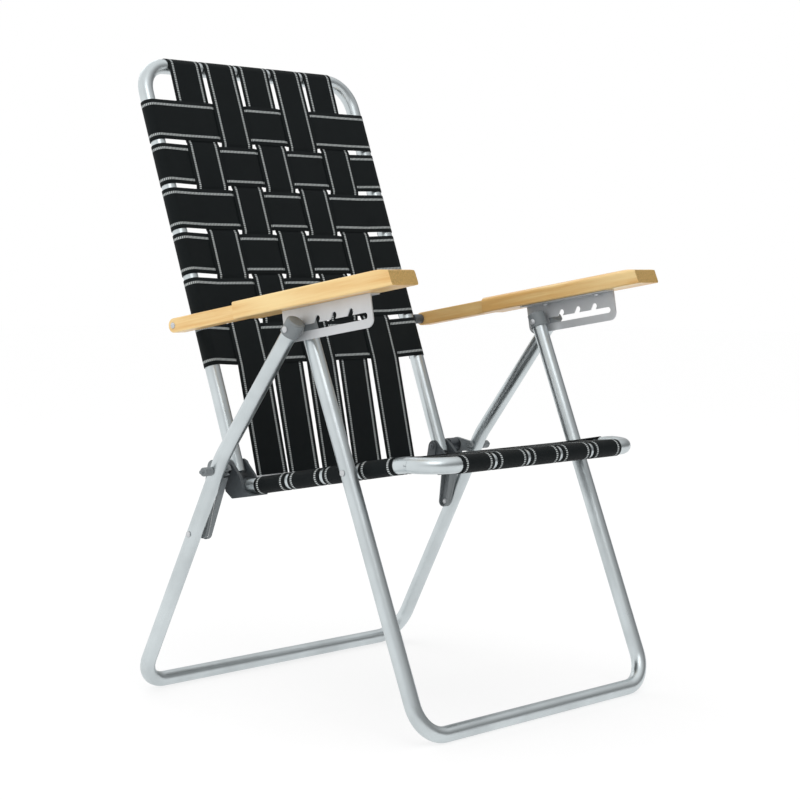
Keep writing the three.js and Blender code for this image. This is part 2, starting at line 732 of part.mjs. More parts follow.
flangeShape.moveTo(plateBack + 1, plateTop - plateThick);
flangeShape.lineTo(plateBack + 1, plateTop - flangeInset);
flangeShape.lineTo(plateFront - 1, plateTop - flangeInset);
flangeShape.lineTo(plateFront - 1, plateTop - plateThick);
const flange = new THREE.ExtrudeGeometry(flangeShape, { depth: flangeWidth, bevelEnabled: false });
armFrame(flange, plateOuter - flangeInset);
const plate = cut(join(web, flange), channel, ...notches, ...screwSpots.map(screwHole));
addPair('slot_plate', plate, steel);

screwSpots.forEach((s, i) => {
  const profile = [
    [0, -3], [1.4 * screwR, -3], [2.2 * screwR, -1.4], [2.2 * screwR, 0], [screwR, 0], [screwR, 10], [0, 11],
  ].map(([r, t]) => new Vector2(r, t));
  const screw = upright(new THREE.LatheGeometry(profile, 12), s, plateTop - plateThick - clearance);
  addPair(`plate_screw_${i + 1}`, screw, steel);
});

// Arm bolts with a spacer tube beside the back frame
const boltEnd = backHalf + wrapR + webThick;
addPair(
  'arm_bolt',
  rivet(armPivot, rivetR, boltEnd, tongueInner + tongueWidth + clearance, false, true),
  steel,
);
const spacerIn = boltEnd + 0.5;
const spacerOut = tongueInner - clearance;
const spacer = turned(
  [
    [rivetR + clearance, spacerIn], [2.4 * rivetR, spacerIn],
    [2.4 * rivetR, spacerOut], [rivetR + clearance, spacerOut], [rivetR + clearance, spacerIn],
  ],
  armPivot,
);
addPair('arm_spacer', spacer, darkPlastic);

// Stand the chair on the floor, centred front to back
const bounds = new THREE.Box3().setFromObject(chair);
chair.position.set(0, -(bounds.min.y + bounds.max.y) / 2, -bounds.min.z);

export default chair;
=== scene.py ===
"""A folding webbed lawn chair: bent tubes, woven webs, wooden arms and fittings.

Metres, +Z up, front is -Y.
"""

import json
import math
from types import SimpleNamespace

import bmesh
import bpy
from bpy.props import FloatProperty, FloatVectorProperty, IntProperty, PointerProperty
from mathutils import Matrix, Quaternion, Vector


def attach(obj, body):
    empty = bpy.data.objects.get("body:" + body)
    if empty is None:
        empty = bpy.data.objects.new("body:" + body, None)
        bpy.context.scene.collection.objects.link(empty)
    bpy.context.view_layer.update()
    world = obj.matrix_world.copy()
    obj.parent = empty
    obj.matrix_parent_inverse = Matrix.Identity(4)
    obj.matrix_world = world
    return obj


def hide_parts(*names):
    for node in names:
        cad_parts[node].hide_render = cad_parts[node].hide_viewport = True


bl_info = {
    "name": "Folding lawn chair",
    "version": (1, 0, 0),
    "blender": (4, 5, 0),
    "location": "View3D > Sidebar > Chair",
    "description": "Builds the tubes, webbing, arms and fittings of a folding lawn chair",
    "category": "Object",
}

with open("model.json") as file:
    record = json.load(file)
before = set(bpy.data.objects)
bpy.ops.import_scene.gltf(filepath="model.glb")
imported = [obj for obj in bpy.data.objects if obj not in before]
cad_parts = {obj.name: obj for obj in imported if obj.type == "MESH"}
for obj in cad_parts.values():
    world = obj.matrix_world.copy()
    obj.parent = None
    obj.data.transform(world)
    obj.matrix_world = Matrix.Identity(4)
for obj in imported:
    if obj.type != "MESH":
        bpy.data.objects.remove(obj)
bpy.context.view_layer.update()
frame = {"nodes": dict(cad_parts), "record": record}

# The camera: its place, the way it looks, its right-hand side and its lens
VIEW_FROM = Vector((-2.09009, -1.99715, 0.63008))
VIEW_AHEAD = Vector((0.726436, 0.683738, -0.069231))
VIEW_RIGHT = Vector((0.685505, -0.728064, 0.002467))
VIEW_LENS = 87.62
VIEW_SENSOR = 36

# The way across the chair, its two sides, and the long webs of each panel
LATERAL = Vector((1, 0, 0))
SIDES = (("left", -1), ("right", 1))
LONG_WEBS = 5

# Fineness of the meshes
BEND_STEP = math.radians(5)
FEWEST_BEND_STEPS = 4
HEM_STEP = math.radians(9)
FEWEST_HEM_STEPS = 2
WEAVE_STEPS = 4
WEB_SECTION = (-0.72, -0.4, 0, 0.4, 0.72)
TUBE_CREASE = math.radians(40)
WEB_CREASE = math.radians(55)
RIM_CREASE = math.radians(30)
SOFT_EDGE_FROM = math.radians(32)
SOFT_EDGE_SEGMENTS = 2
WELD_REACH = 0.00001

# Middle of the studio floor to its edges
FLOOR_HALF = 14

# Settings


def length(name, description, default):
    """A size in metres."""
    return FloatProperty(
        name=name, description=description, default=default, min=0.0001, precision=5, unit="LENGTH"
    )


def offset(name, description, default):
    """A distance in metres, on either side of zero."""
    return FloatProperty(name=name, description=description, default=default, precision=6, unit="LENGTH")


def angle(name, description, degrees):
    """An angle, written in degrees."""
    return FloatProperty(name=name, description=description, default=math.radians(degrees), subtype="ANGLE")


def count(name, description, default):
    """A number of like things."""
    return IntProperty(name=name, description=description, default=default, min=1)


def share(name, description, default):
    """A part of one."""
    return FloatProperty(name=name, description=description, default=default, min=0, max=1, subtype="FACTOR")


def level(name, description, default):
    """A strength of light."""
    return FloatProperty(name=name, description=description, default=default, min=0)


def watts(name, description, default):
    """A lamp's power."""
    return FloatProperty(name=name, description=description, default=default, min=0, unit="POWER")


def spot(name, description, y, z):
    """A point of the side view: y to the rear, z up."""
    return FloatVectorProperty(
        name=name, description=description, size=2, default=(y, z), precision=4, unit="LENGTH"
    )


def room_point(name, description, x, y, z):
    """A point of the room."""
    return FloatVectorProperty(
        name=name, description=description, size=3, default=(x, y, z), subtype="TRANSLATION", unit="LENGTH"
    )


def colour(name, description, red, green, blue):
    """A linear colour."""
    return FloatVectorProperty(
        name=name, description=description, size=3, default=(red, green, blue), min=0, max=1, subtype="COLOR"
    )


class ChairSizes(bpy.types.PropertyGroup):
    """Driving sizes of the chair"""

    tube_radius: length("Tube radius", "Outer radius of all four bent frames", 0.0111)
    tube_wall: length("Tube wall", "Wall seen in an open tube end", 0.0012)
    tube_sides: count("Tube sides", "Faces round a tube", 40)
    bend_radius: length("Bend radius", "Centre line of a frame corner", 0.046)
    leg_bend_radius: length("Leg bend radius", "Gentle bend of the rear leg under the arm", 0.11)
    rail_bend_radius: length("Rail bend radius", "Gentle bend of a seat rail before its corner", 0.092)
    seat_corner_radius: length("Seat corner radius", "Front corners of the seat frame", 0.04324)
    leg_over: length("Leg above pin", "Leg tube above the lock pin, inside the cap", 0.012)
    rear_half: length("Rear leg half width", "Middle of the chair to a rear leg", 0.2777)
    front_half: length("Front leg half width", "Middle of the chair to a front leg", 0.2462)
    seat_half: length("Seat half width", "Middle of the chair to a seat rail", 0.2205)
    back_half: length("Back half width", "Middle of the chair to a back tube", 0.2185)
    plan_shift: offset("Plan shift", "Moves the side view onto the middle of the plan", -0.031718)
    lock_pin: spot("Lock pin", "Pin through both legs, under the arm", -0.059, 0.543)
    front_foot: spot("Front floor bar", "Centre of the front floor bar", -0.2704, 0.0111)
    rear_foot: spot("Rear floor bar", "Centre of the rear floor bar", 0.2678, 0.0111)
    leg_bend: spot("Rear leg bend", "Corner of the rear leg's gentle bend", 0.0839, 0.359)
    back_pivot: spot("Back pivot", "Bolt on which the back reclines", 0.1199, 0.341)
    low_bar: spot("Low bar", "Bar that the back's long webs end on", 0.1245, 0.3176)
    seat_pivot_z: length("Seat pivot height", "Rivet between front leg and seat rail", 0.352)
    back_lean: angle("Back lean", "Lean of the back from upright", 19.9)
    back_length: length("Back length", "Pivot to the centre of the top bar", 0.6244)
    back_tail: length("Back tail", "Back tube below its pivot", 0.010)
    rail_slope: angle("Rail slope", "Rise of the seat rails to the front", 9.93)
    arm_slope: angle("Arm slope", "Rise of the arms to the front, which the grain follows", 9.3)
    rail_rear: length("Rail end", "Rear end of the seat rails in the side view", 0.107)
    seat_front: offset("Seat front bar", "Front bar of the seat in the side view", -0.2645)
    seat_rear: length("Seat rear bar", "Bar behind the seat webs in the side view", 0.084)
    low_bar_radius: length("Low bar radius", "Bar that the back's long webs end on", 0.005)
    seat_bar_radius: length("Seat bar radius", "Bar behind the seat webs", 0.0063)
    web_width: length("Web width", "Width of every web", 0.0635)
    web_thick: length("Web thickness", "Thickness of every web", 0.0009)
    web_pitch: length("Web pitch", "One web's middle to the next", 0.0702)
    web_lift: length("Web to tube", "Gap between a web and the bar under it", 0.0003)
    weave_lift: length("Weave lift", "Half the distance between crossing webs", 0.00065)
    weave_margin: length("Weave margin", "Flat stretch kept past a crossing", 0.0007)
    web_columns: count("Long webs", "Long webs of the back and of the seat", LONG_WEBS)
    web_stray: FloatVectorProperty(
        name="Web stray",
        description="How far each long web of the back strays sideways at the low bar",
        size=LONG_WEBS,
        default=(0.004, -0.0005, -0.0015, -0.005, 0.0005),
        precision=4,
        unit="LENGTH",
    )
    web_pull: share("Web pull", "How far cross webs draw a panel towards the faces of its side tubes", 0.6)
    back_rows: count("Back rows", "Cross webs of the back", 6)
    last_back_row: length("Last back row", "Lowest cross web above the low bar", 0.2023)
    seat_rows: count("Seat rows", "Cross webs of the seat", 4)
    first_seat_row: length("First seat row", "Front bar to the first cross web", 0.094)
    hem_turn: angle("Hem turn", "How far a web's end turns round its bar", 205)
    link_inner: length("Link face", "Middle of the chair to a link's inner face", 0.2580)
    link_low_z: length("Link rivet height", "Rivet between rear leg and link", 0.246)
    link_low_radius: length("Link low end", "Radius of a link's low end", 0.0085)
    link_top_radius: length("Link top end", "Radius of a link round the back pivot", 0.0115)
    link_rim: length("Link rim", "Thickness of a link's rim", 0.0018)
    link_rim_low: length("Rim depth below", "Depth of a link's rim at its rivet", 0.0055)
    link_rim_top: length("Rim depth above", "Depth of a link's rim at the back pivot", 0.017)
    link_rim_end: length("Rim end", "Back pivot to the upper end of a link's rim", 0.012)
    edge_round: length("Edge rounding", "Softened edges of arms and fittings", 0.0005)


class WeavePattern(bpy.types.PropertyGroup):
    """Pattern of the web's weave"""

    rib_pitch: length("Rib pitch", "Ribs across the web", 0.0019)
    pick_pitch: length("Pick pitch", "Threads along the web", 0.0026)
    stripe_place: length("Stripe place", "Middle of the web to a pale stripe", 0.02415)
    stripe_half: length("Stripe half width", "Half the width of a pale stripe", 0.0018)
    stripe_soft: length("Stripe edge", "Soft edge of a pale stripe", 0.0005)
    dot_pitch: length("Dot pitch", "Dots along a pale stripe", 0.0029)
    relief: length("Relief", "Height of the weave", 0.0003)


class ChairFinish(bpy.types.PropertyGroup):
    """Colours and gloss of the chair"""

    aluminium: colour("Aluminium", "Bent frames", 0.63, 0.683, 0.70)
    tube_roughness: share("Tube roughness", "How dull the bent frames are", 0.34)
    steel: colour("Steel", "Slot plates, lock pins, rivets, screws, washers and bars", 0.66, 0.68, 0.70)
    steel_roughness: share("Steel roughness", "How dull the plated and dark steel pieces are", 0.42)
    plating: share("Plating", "How metallic the plated steel pieces look", 0.45)
    dark_steel: colour("Dark steel", "Back pivot bolts", 0.10, 0.11, 0.12)
    web: colour("Web", "Ground of the webs", 0.0020, 0.0042, 0.0050)
    # Painted highlight: the raised threads of the weave are drawn in this lighter colour
    web_thread_highlight: colour("Web thread", "Raised threads of the webs", 0.0065, 0.0100, 0.0110)
    stripe: colour("Stripe", "Pale stripes of the webs", 0.58, 0.62, 0.62)
    wood: colour("Wood", "Arms", 0.97, 0.725, 0.34)
    wood_dark: colour("Wood grain", "Dark grain of the arms", 0.80, 0.47, 0.155)
    end_grain: colour("End grain", "Ends of the arms", 0.40, 0.26, 0.07)
    varnish: share("Varnish", "Clear coat of the arms", 0.25)
    dark_plastic: colour("Dark plastic", "Brackets, spacers and tabs", 0.058, 0.068, 0.075)
    grey_plastic: colour("Grey plastic", "Caps, links and stop pins", 0.19, 0.21, 0.22)


class StageLevels(bpy.types.PropertyGroup):
    """Floor and light of the studio"""

    floor: colour("Floor", "Studio floor", 0.90, 0.90, 0.90)
    floor_glow: level("Floor glow", "Brightness of the white that the camera sees in the floor", 1.1)
    floor_white: share("Floor white", "How much of that white covers the lit floor", 0.68)
    key_place: room_point("Key lamp", "Large lamp ahead of the chair and above it", -1.6, -2.4, 3.0)
    key_size: length("Key lamp size", "Side of the key lamp", 2.2)
    key_power: watts("Key lamp power", "Power of the key lamp", 26)
    back_place: room_point("Back lamp", "Lamp behind the chair", 0.6, 2.6, 2.6)
    back_size: length("Back lamp size", "Side of the back lamp", 2.0)
    back_power: watts("Back lamp power", "Power of the back lamp", 12)
    aim: room_point("Lamp aim", "Point that both lamps look at", 0, 0, 0.45)
    wall_bright: level("Bright wall", "Light from the left of the view", 1.35)
    wall_dim: level("Dim wall", "Light from the right of the view", 0.05)
    overhead: level("Overhead", "Light from above", 1.35)
    mirrored: share("Mirrored white", "How much of the white background shows in reflections", 0.2)


def sizes():
    """The chair's sizes."""
    return bpy.context.scene.chair_sizes


def weave():
    """The pattern of the webs."""
    return bpy.context.scene.chair_weave


def finish():
    """The chair's colours and gloss."""
    return bpy.context.scene.chair_finish


def stage():
    """The studio's floor and light."""
    return bpy.context.scene.chair_stage


# Layout of the frame


def side_point(pair):
    """A side view point in the row frame."""
    return Vector((0, pair[0] + sizes().plan_shift, pair[1]))


def on_line(start, way, z):
    """The point of a line at height z."""
    return start + way * ((z - start.z) / way.z)


def rail_at(lay, y):
    """The seat rail's centre at a side view y."""
    return lay.seat_pivot + lay.rail_way * ((y + sizes().plan_shift - lay.seat_pivot.y) / lay.rail_way.y)


def layout():
    """Points and directions of the frame, from the driving sizes."""
    s = sizes()
    lay = SimpleNamespace()
    lay.lock_pin = side_point(s.lock_pin)
    lay.front_foot = side_point(s.front_foot)
    lay.rear_foot = side_point(s.rear_foot)
    lay.leg_bend = side_point(s.leg_bend)
    lay.back_pivot = side_point(s.back_pivot)
    lay.low_bar = side_point(s.low_bar)
    lay.front_down = (lay.front_foot - lay.lock_pin).normalized()
    lay.rear_down = (lay.leg_bend - lay.lock_pin).normalized()
    lay.seat_pivot = on_line(lay.lock_pin, lay.front_down, s.seat_pivot_z)
    lay.rail_way = Vector((0, -math.cos(s.rail_slope), math.sin(s.rail_slope)))
    lay.back_up = Vector((0, math.sin(s.back_lean), math.cos(s.back_lean)))
    lay.back_top = lay.back_pivot + lay.back_up * s.back_length
    lay.rail_end = rail_at(lay, s.rail_rear)
    lay.seat_corner = rail_at(lay, s.seat_front + s.bend_radius)
    lay.seat_front = Vector((0, s.seat_front + s.plan_shift, lay.seat_corner.z))
    lay.seat_rear = rail_at(lay, s.seat_rear)
    return lay


def at_x(point, x):
    """The point moved to x."""
    return Vector((x, point.y, point.z))


def rounded(corners, radii):
    """A path with each inner corner rounded to its radius."""
    path = [corners[0]]
    for before, here, after, radius in zip(corners, corners[1:], corners[2:], radii):
        back = (before - here).normalized()
        on = (after - here).normalized()
        turn = math.pi - back.angle(on)
        start = here + back * radius * math.tan(turn / 2)
        centre = here + (back + on).normalized() * radius / math.cos(turn / 2)
        axis = back.cross(on).normalized()
        steps = max(FEWEST_BEND_STEPS, math.ceil(turn / BEND_STEP))
        for k in range(steps + 1):
            path.append(centre + Quaternion(axis, -turn * k / steps) @ (start - centre))
    path.append(corners[-1])
    return path


def hoop(points, half, radii):
    """A U-shaped path: one side, the cross bar, the other side."""
    corners = [at_x(p, half) for p in points] + [at_x(p, -half) for p in reversed(points)]
    return rounded(corners, radii + radii[::-1])


def tangents(points):
    """Unit directions along a path."""
    last = len(points) - 1
    return [(points[min(i + 1, last)] - points[max(i - 1, 0)]).normalized() for i in range(last + 1)]


def cross_frames(points):
    """Two directions square to the path at each point, turning with it."""
    ways = tangents(points)
    normal = ways[0].orthogonal().normalized()
    frames = []
    for i, way in enumerate(ways):
        if i:
            normal = ways[i - 1].rotation_difference(way) @ normal
        normal = (normal - way * normal.dot(way)).normalized()
        frames.append((normal, way.cross(normal)))
    return frames


def travel(points):
    """Distance from the start at each point."""
    run = [0.0]
    for a, b in zip(points, points[1:]):
        run.append(run[-1] + (b - a).length)
    return run


# Meshes


def finish_mesh(bm, name, body, slot, crease):
    """The bmesh as a named object that rides on a body and has a slot's material."""
    bmesh.ops.recalc_face_normals(bm, faces=bm.faces)
    for edge in bm.edges:
        edge.smooth = len(edge.link_faces) == 2 and edge.calc_face_angle(0) < crease
    for face in bm.faces:
        face.smooth = True
    mesh = bpy.data.meshes.new(name)
    bm.to_mesh(mesh)
    bm.free()
    mesh.materials.append(material(slot))
    obj = bpy.data.objects.new(name, mesh)
    bpy.context.scene.collection.objects.link(obj)
    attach(obj, body)
    return obj


def soften(obj):
    """Soft edges and even shading on a piece."""
    soft = obj.modifiers.new("Bevel", "BEVEL")
    soft.width = sizes().edge_round
    soft.segments = SOFT_EDGE_SEGMENTS
    soft.limit_method = "ANGLE"
    soft.angle_limit = SOFT_EDGE_FROM
    for face in obj.data.polygons:
        face.use_smooth = True
    even = obj.modifiers.new("Even shading", "WEIGHTED_NORMAL")
    even.keep_sharp = True


def start_sweep():
    """An empty bmesh whose vertices carry their distances across and along a swept piece."""
    bm = bmesh.new()
    bm.verts.layers.float.new("across")
    bm.verts.layers.float.new("along")
    return bm


def new_points(made):
    """The vertices among what an extrusion made."""
    return [part for part in made if isinstance(part, bmesh.types.BMVert)]


def sweep(bm, ring, places, runs, girth=0):
    """Extrude a ring of edges from place to place, close both ends and map the faces across and along."""
    across = bm.verts.layers.float["across"]
    along = bm.verts.layers.float["along"]
    first = ring
    for before, here, run in zip(places, places[1:], runs[1:]):
        made = bmesh.ops.extrude_edge_only(bm, edges=ring)["geom"]
        ring = [part for part in made if isinstance(part, bmesh.types.BMEdge)]
        points = new_points(made)
        bmesh.ops.transform(bm, matrix=here @ before.inverted(), verts=points)
        for point in points:
            point[along] = run
    for end in (first, ring):
        bmesh.ops.edgeloop_fill(bm, edges=end)
    layer = bm.loops.layers.uv.verify()
    for face in bm.faces:
        spread = [loop.vert[across] for loop in face.loops]
        seam = girth and max(spread) - min(spread) > girth / 2
        for loop, value in zip(face.loops, spread):
            turn = girth if seam and value < girth / 2 else 0
            loop[layer].uv = (value + turn, loop.vert[along])
    for name in ("along", "across"):
        bm.verts.layers.float.remove(bm.verts.layers.float[name])


def tube(name, points, body):
    """A hollow-ended bent tube along a path."""
    s = sizes()
    inner = s.tube_radius - s.tube_wall
    depth = 2 * s.tube_radius
    ways = tangents(points)
    frames = cross_frames(points)
    runs = travel(points)
    last = len(points) - 1
    stations = [(points[0] + ways[0] * depth, 0, inner), (points[0], 0, inner)]
    stations += [(point, i, s.tube_radius) for i, point in enumerate(points)]
    stations += [(points[last], last, inner), (points[last] - ways[last] * depth, last, inner)]
    places = []
    for point, i, radius in stations:
        normal, side = frames[i]
        turn = Matrix((normal, side, ways[i])).transposed().to_4x4()
        places.append(Matrix.Translation(point) @ turn @ Matrix.Scale(radius, 4))
    bm = start_sweep()
    bmesh.ops.create_circle(bm, segments=s.tube_sides, radius=1, matrix=places[0])
    across = bm.verts.layers.float["across"]
    girth = 2 * math.pi * s.tube_radius
    for j, point in enumerate(bm.verts):
        point[across] = girth * j / s.tube_sides
    sweep(bm, list(bm.edges), places, [runs[i] for _, i, _ in stations], girth)
    return finish_mesh(bm, name, body, "tube", TUBE_CREASE)


def strap(name, stations, body):
    """A flat web along stations of (point, width direction), with rounded selvedges."""
    s = sizes()
    half = s.web_width / 2
    thin = s.web_thick / 2
    top = [-half + thin] + [half * part for part in WEB_SECTION] + [half - thin]
    section = [(u, thin) for u in top] + [(half, 0)] + [(u, -thin) for u in reversed(top)] + [(-half, 0)]
    points = [point for point, _ in stations]
    runs = travel(points)
    places = []
    for (point, width), way in zip(stations, tangents(points)):
        turn = Matrix((width, way.cross(width).normalized(), way)).transposed().to_4x4()
        places.append(Matrix.Translation(point) @ turn)
    bm = start_sweep()
    across = bm.verts.layers.float["across"]
    corners = []
    for u, n in section:
        corners.append(bm.verts.new(places[0] @ Vector((u, n, 0))))
        corners[-1][across] = u
    ring = [bm.edges.new(pair) for pair in zip(corners, corners[1:] + corners[:1])]
    sweep(bm, ring, places, runs)
    obj = finish_mesh(bm, name, body, "webbing", WEB_CREASE)
    return obj


# Lines and arcs over bars


def run_between(c1, r1, c2, r2, face):
    """The straight line over two round bars, on the stated face of each."""
    axis = c2 - c1
    sine = (r1 - r2) / axis.length
    axis.normalize()
    normal = face * math.sqrt(1 - sine * sine) + axis * sine
    run = SimpleNamespace(c1=c1, r1=r1, c2=c2, r2=r2, normal=normal)
    run.start = c1 + normal * r1
    run.end = c2 + normal * r2
    run.way = (run.end - run.start).normalized()
    return run


def arc(centre, radius, a, b, first, last):
    """Points of an arc in the plane of directions a and b."""
    steps = max(FEWEST_HEM_STEPS, math.ceil(abs(last - first) / HEM_STEP))
    angles = [first + (last - first) * k / steps for k in range(steps + 1)]
    return [centre + (a * math.cos(t) + b * math.sin(t)) * radius for t in angles]


# Paths of the webs


def over(row, column):
    """1 where the cross web lies over the long web, -1 where it lies under."""
    return 1 if (row + column) % 2 == 0 else -1


def column_x():
    """Centres of the long webs."""
    s = sizes()
    return [(i - (s.web_columns - 1) / 2) * s.web_pitch for i in range(s.web_columns)]


def crossing_half():
    """Middle of a crossing to the end of its flat stretch."""
    return sizes().web_width / 2 + sizes().weave_margin


def eased(places, lifts):
    """Place and lift pairs, with smooth steps between one crossing and the next."""
    half = crossing_half()
    stops = []
    for i, (here, lift) in enumerate(zip(places, lifts)):
        stops += [(here - half, lift), (here, lift), (here + half, lift)]
        if i + 1 < len(places):
            gap = places[i + 1] - here - 2 * half
            for k in range(1, WEAVE_STEPS):
                t = k / WEAVE_STEPS
                ease = t * t * (3 - 2 * t)
                stops.append((here + half + gap * t, lift + (lifts[i + 1] - lift) * ease))
    return stops


def towards(way, side):
    """The direction square to a way in the side view, on the stated side."""
    normal = LATERAL.cross(way).normalized()
    return normal if normal.dot(side) > 0 else -normal


def web_stand():
    """A bar's face to the middle of the web on it."""
    return sizes().web_lift + sizes().web_thick / 2


def web_radius():
    """A frame tube's centre to the middle of the web round it."""
    return sizes().tube_radius + web_stand()


def pulled(run, tube_point, tube_way):
    """The woven stretch of a run, which its cross webs draw towards the faces of the side tubes."""
    up = towards(tube_way, run.normal)
    ends = []
    for point in (run.start, run.end):
        hub = tube_point + tube_way * (point - tube_point).dot(tube_way)
        gap = (hub + up * web_radius() - point).dot(run.normal)
        ends.append(point + run.normal * gap * sizes().web_pull)
    way = (ends[1] - ends[0]).normalized()
    return SimpleNamespace(start=ends[0], way=way, normal=towards(way, run.normal))


def long_web(run, woven, rows, column, stray):
    """Stations of a web over the first bar, through the rows and, straying sideways, round the second bar."""
    s = sizes()
    x = column_x()[column]
    lifts = [-s.weave_lift * over(k, column) for k in range(len(rows))]
    sign = math.copysign(1, run.r2)
    path = arc(run.c1, run.r1, run.normal, -run.way, s.hem_turn, 0)
    path += [woven.start + woven.way * d + woven.normal * lift for d, lift in eased(rows, lifts)]
    hem = arc(run.c2, abs(run.r2), run.normal * sign, run.way, 0, s.hem_turn)
    return [(at_x(p, x), LATERAL) for p in path] + [(at_x(p, x + stray), LATERAL) for p in hem]


def cross_web(woven, distance, row, tube_point, tube_way, half):
    """Stations of a web round both side tubes, woven through the long webs."""
    s = sizes()
    centre = woven.start + woven.way * distance
    hub = tube_point + tube_way * (centre - tube_point).dot(tube_way)
    up = towards(tube_way, woven.normal)
    radius = web_radius()
    columns = column_x()
    rise = (centre - hub).dot(up) + s.weave_lift * over(row, 0)
    reach = half - columns[-1] - crossing_half()
    leave = math.atan2(reach, rise) - math.acos(radius / math.hypot(reach, rise))
    right = [(p, tube_way) for p in arc(at_x(hub, half), radius, up, LATERAL, -leave, s.hem_turn)]
    left = [(at_x(p, -p.x), width) for p, width in reversed(right)]
    width = woven.way if woven.way.dot(tube_way) > 0 else -woven.way
    lifts = [s.weave_lift * over(row, i) for i in range(len(columns))]
    middle = [(at_x(centre, x) + woven.normal * lift, width) for x, lift in eased(columns, lifts)]
    return left + middle + right


def back_run(lay):
    """The line of the back's long webs, in front of the top bar and behind the low bar."""
    axis = (lay.low_bar - lay.back_top).normalized()
    face = Vector((0, axis.z, -axis.y))
    behind = -(sizes().low_bar_radius + web_stand())
    return run_between(lay.back_top, web_radius(), lay.low_bar, behind, face)


def seat_run(lay):
    """The line of the seat's long webs, over the front bar and the bar behind."""
    axis = (lay.seat_rear - lay.seat_front).normalized()
    face = Vector((0, -axis.z, axis.y))
    above = sizes().seat_bar_radius + web_stand()
    return run_between(lay.seat_front, web_radius(), lay.seat_rear, above, face)


def row_distances(first, rows):
    """Distances of cross webs along a run."""
    return [first + sizes().web_pitch * k for k in range(rows)]


# Materials


def link(tree, source, target):
    """A link between two sockets."""
    tree.links.new(source, target)


def feed(tree, value, socket):
    """A socket set by another socket or by a number."""
    if isinstance(value, bpy.types.NodeSocket):
        link(tree, value, socket)
    else:
        socket.default_value = value


def start_material(name, roughness, metallic=0.0):
    """A new material with a principled surface."""
    made = bpy.data.materials.new(name)
    made.use_nodes = True
    tree = made.node_tree
    surface = tree.nodes["Principled BSDF"]
    surface.inputs["Roughness"].default_value = roughness
    surface.inputs["Metallic"].default_value = metallic
    return made, tree, surface


def math_node(tree, operation, *operands):
    """A math node; each operand is a socket or a number."""
    made = tree.nodes.new("ShaderNodeMath")
    made.operation = operation
    for socket, operand in zip(made.inputs, operands):
        feed(tree, operand, socket)
    return made.outputs[0]


def dot_with(tree, vector, way):
    """How far a vector points along a fixed direction."""
    made = tree.nodes.new("ShaderNodeVectorMath")
    made.operation = "DOT_PRODUCT"
    made.inputs[1].default_value = way
    link(tree, vector, made.inputs[0])
    return made.outputs["Value"]


def split(tree, vector):
    """The three parts of a vector."""
    made = tree.nodes.new("ShaderNodeSeparateXYZ")
    link(tree, vector, made.inputs[0])
    return made.outputs


def mix_colour(tree, factor, low, high):
    """A colour mix; each colour is a socket or a triple."""
    made = tree.nodes.new("ShaderNodeMix")
    made.data_type = "RGBA"
    link(tree, factor, made.inputs["Factor"])
    for name, value in (("A", low), ("B", high)):
        socket = next(s for s in made.inputs if s.name == name and s.type == "RGBA")
        feed(tree, value if isinstance(value, bpy.types.NodeSocket) else (*value, 1), socket)
    return next(s for s in made.outputs if s.type == "RGBA")


def mix_shader(tree, factor, first, second):
    """A mix of two surfaces or backgrounds."""
    made = tree.nodes.new("ShaderNodeMixShader")
    for socket, source in zip(made.inputs, (factor, first.outputs[0], second.outputs[0])):
        link(tree, source, socket)
    return made.outputs[0]


def noise(tree, vector, scale=1.0, detail=2.0, roughness=0.5):
    """A noise texture's value."""
    made = tree.nodes.new("ShaderNodeTexNoise")
    made.inputs["Scale"].default_value = scale
    made.inputs["Detail"].default_value = detail
    made.inputs["Roughness"].default_value = roughness
    link(tree, vector, made.inputs["Vector"])
    return made.outputs[0]


def mapped(tree, vector, scale, rotation=(0, 0, 0)):
    """A vector scaled and turned."""
    made = tree.nodes.new("ShaderNodeMapping")
    made.inputs["Scale"].default_value = scale
    made.inputs["Rotation"].default_value = rotation
    link(tree, vector, made.inputs["Vector"])
    return made.outputs[0]


def ranged(tree, value, span, result):
    """A value carried from one span to another, and held inside it."""
    made = tree.nodes.new("ShaderNodeMapRange")
    for name, number in zip(("From Min", "From Max", "To Min", "To Max"), (*span, *result)):
        made.inputs[name].default_value = number
    link(tree, value, made.inputs["Value"])
    return made.outputs["Result"]


def waves(tree, run, pitch, phase=None):
    """A sine wave along a run, once in each pitch."""
    turn = math_node(tree, "MULTIPLY", run, 2 * math.pi / pitch)
    if phase:
        turn = math_node(tree, "ADD", turn, phase)
    return math_node(tree, "SINE", turn)


def bump(tree, surface, height, distance, strength):
    """Relief on a surface."""
    made = tree.nodes.new("ShaderNodeBump")
    made.inputs["Distance"].default_value = distance
    made.inputs["Strength"].default_value = strength
    link(tree, height, made.inputs["Height"])
    link(tree, made.outputs["Normal"], surface.inputs["Normal"])


def coordinates(tree, output):
    """A texture coordinate."""
    return tree.nodes.new("ShaderNodeTexCoord").outputs[output]


def metal(name, tint, roughness, metallic=1.0, drawn=False):
    """Metal with fine drawing lines along the run of its UV, or plain brushing without."""
    made, tree, surface = start_material(name, roughness, metallic)
    line_scale = (2600, 9, 1) if drawn else (1800, 60, 1800)
    spread = coordinates(tree, "UV" if drawn else "Object")
    lines = noise(tree, mapped(tree, spread, line_scale), detail=3.0, roughness=0.6)
    cloud = noise(tree, coordinates(tree, "Object"), scale=14.0, detail=3.0, roughness=0.55)
    dull = tuple(value * 0.86 for value in tint)
    tarnish = ranged(tree, cloud, (0.35, 0.7), (0, 1))
    link(tree, mix_colour(tree, tarnish, tuple(tint), dull), surface.inputs["Base Color"])
    both = math_node(tree, "MULTIPLY", math_node(tree, "ADD", lines, cloud), 0.5)
    gloss = ranged(tree, both, (0.3, 0.7), (roughness * 0.72, roughness * 1.35))
    link(tree, gloss, surface.inputs["Roughness"])
    bump(tree, surface, lines, distance=0.00001, strength=0.4)
    return made


